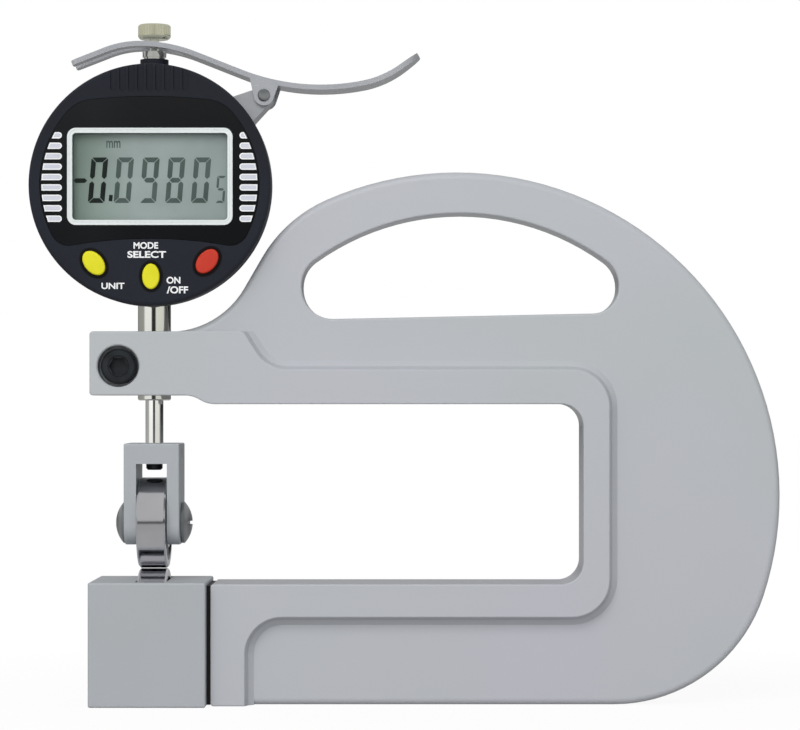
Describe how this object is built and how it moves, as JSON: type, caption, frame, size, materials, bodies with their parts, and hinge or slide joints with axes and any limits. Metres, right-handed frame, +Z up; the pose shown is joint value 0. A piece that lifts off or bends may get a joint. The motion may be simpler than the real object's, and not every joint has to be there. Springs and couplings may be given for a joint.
{
  "type": "digital roller thickness gauge",
  "caption": "Deep-throat thickness gauge: a digital plunger indicator with lifting lever presses a roller down on a second roller in an anvil block.",
  "frame": {"origin": "on the base plane, under the measuring axis, in the gauge's mid plane", "axes": "+X from the measuring axis to the back of the throat, +Y away from the viewer of the display, +Z up along the spindle"},
  "size_m": [0.1805, 0.0276, 0.1647],
  "materials": {
    "frame_enamel": "satin silver-grey enamel on a casting",
    "ground_steel": "ground and matt plated",
    "black_shim": "black sheet",
    "black_oxide": "black oxide screw",
    "steel_pin": "hardened steel",
    "bearing_steel": "polished bearing steel",
    "cage_brass": "pressed brass",
    "bush_bronze": "sintered bronze",
    "bright_nickel": "nickel plated",
    "case_plastic": "dark satin moulding",
    "gloss_black": "gloss face plate",
    "white_plastic": "white frame",
    "clear_lens": "clear window",
    "display_glass": "reflective liquid crystal panel",
    "contact_rubber": "layered contact rubber",
    "board_green": "lacquered circuit board",
    "pad_rubber": "moulded silicone",
    "cell_steel": "coin cell",
    "contact_metal": "plated spring contact",
    "button_yellow": "moulded yellow",
    "button_red": "moulded red",
    "lever_steel": "polished plated sheet",
    "bracket_steel": "plated bracket",
    "clevis_steel": "satin plated block",
    "scale_glass": "etched scale",
    "spring_steel": "spring wire"
  },
  "bodies": {
    "root": {"frame": "frame_enamel", "anvil_block": "ground_steel", "anvil_shim": "black_shim", "anvil_block_screws": "black_oxide", "lower_axle": "steel_pin", "lower_axle_grub": "black_oxide", "lower_bearing_inner_ring": "bearing_steel", "stem": "bright_nickel", "stem_bushes": "bush_bronze", "top_bush": "bright_nickel", "case_front": "case_plastic", "face_plate": "gloss_black", "lcd_surround": "white_plastic", "lcd_lens": "clear_lens", "lcd_panel": "display_glass", "contact_strips": "contact_rubber", "circuit_board": "board_green", "sensor_board": "board_green", "button_pad": "pad_rubber", "case_back": "case_plastic", "back_cover": "case_plastic", "case_screws": "steel_pin", "battery": "cell_steel", "battery_holder": "case_plastic", "battery_contacts": "contact_metal", "lever_bracket": "bracket_steel", "bracket_screws": "steel_pin"},
    "spindle_group": {"spindle": "bright_nickel", "lift_rod": "bright_nickel", "lift_knob": "bright_nickel", "clevis": "clevis_steel", "clevis_screw": "black_oxide", "clevis_grub": "black_oxide", "upper_axle_sleeve": "steel_pin", "upper_axle_screw": "steel_pin", "upper_bearing_inner_ring": "bearing_steel", "scale_carrier": "steel_pin", "scale_strip": "scale_glass", "guide_pin": "steel_pin", "return_spring": "spring_steel"},
    "upper_roller": {"upper_bearing_outer_ring": "bearing_steel", "upper_bearing_shields": "steel_pin"},
    "upper_ball_set": {"upper_bearing_balls": "bearing_steel", "upper_bearing_cage": "cage_brass"},
    "lower_roller": {"lower_bearing_outer_ring": "bearing_steel", "lower_bearing_shields": "steel_pin"},
    "lower_ball_set": {"lower_bearing_balls": "bearing_steel", "lower_bearing_cage": "cage_brass"},
    "lifting_lever": {"lever": "lever_steel", "lever_pin": "steel_pin"},
    "clamp_screw": {"clamp_screw": "black_oxide"},
    "battery_door": {"battery_door": "case_plastic"},
    "button_left": {"button_left": "button_yellow"},
    "button_middle": {"button_middle": "button_yellow"},
    "button_right": {"button_right": "button_red"}
  },
  "joints": [
    {"name": "spindle_slide", "type": "slide", "parent": "root", "child": "spindle_group", "axis": [0, 0, 1], "range_m": [0, 0.01], "stiffness_N_per_m": 120, "springref_m": -0.012, "deforming": ["return_spring"]},
    {"name": "upper_roller_spin", "type": "hinge", "parent": "spindle_group", "child": "upper_roller", "pos_m": [0, 0, 0.04372], "axis": [1, 0, 0], "continuous": true},
    {"name": "upper_ball_orbit", "type": "hinge", "parent": "spindle_group", "child": "upper_ball_set", "pos_m": [0, 0, 0.04372], "axis": [1, 0, 0], "continuous": true},
    {"name": "lower_roller_spin", "type": "hinge", "parent": "root", "child": "lower_roller", "pos_m": [0, 0, 0.0216], "axis": [1, 0, 0], "continuous": true},
    {"name": "lower_ball_orbit", "type": "hinge", "parent": "root", "child": "lower_ball_set", "pos_m": [0, 0, 0.0216], "axis": [1, 0, 0], "continuous": true},
    {"name": "lever_hinge", "type": "hinge", "parent": "root", "child": "lifting_lever", "pos_m": [0.02695, 0, 0.14704], "axis": [0, 1, 0], "range_deg": [0, 20]},
    {"name": "clamp_screw_turn", "type": "hinge", "parent": "root", "child": "clamp_screw", "pos_m": [-0.0078, 0, 0.0816], "axis": [0, -1, 0], "range_deg": [0, 360]},
    {"name": "battery_door_slide", "type": "slide", "parent": "root", "child": "battery_door", "axis": [0, 1, 0], "range_m": [0, 0.012]},
    {"name": "button_left_press", "type": "slide", "parent": "root", "child": "button_left", "axis": [0, 1, 0], "range_m": [0, 0.0008], "stiffness_N_per_m": 400, "springref_m": -0.0005},
    {"name": "button_middle_press", "type": "slide", "parent": "root", "child": "button_middle", "axis": [0, 1, 0], "range_m": [0, 0.0008], "stiffness_N_per_m": 400, "springref_m": -0.0005},
    {"name": "button_right_press", "type": "slide", "parent": "root", "child": "button_right", "axis": [0, 1, 0], "range_m": [0, 0.0008], "stiffness_N_per_m": 400, "springref_m": -0.0005}
  ],
  "couplings": [
    {"joint": "lever_hinge", "follows": "spindle_slide", "rad_per_m": 34.5},
    {"joint": "upper_ball_orbit", "follows": "upper_roller_spin", "ratio": 0.6311},
    {"joint": "lower_ball_orbit", "follows": "lower_roller_spin", "ratio": 0.6311}
  ]
}
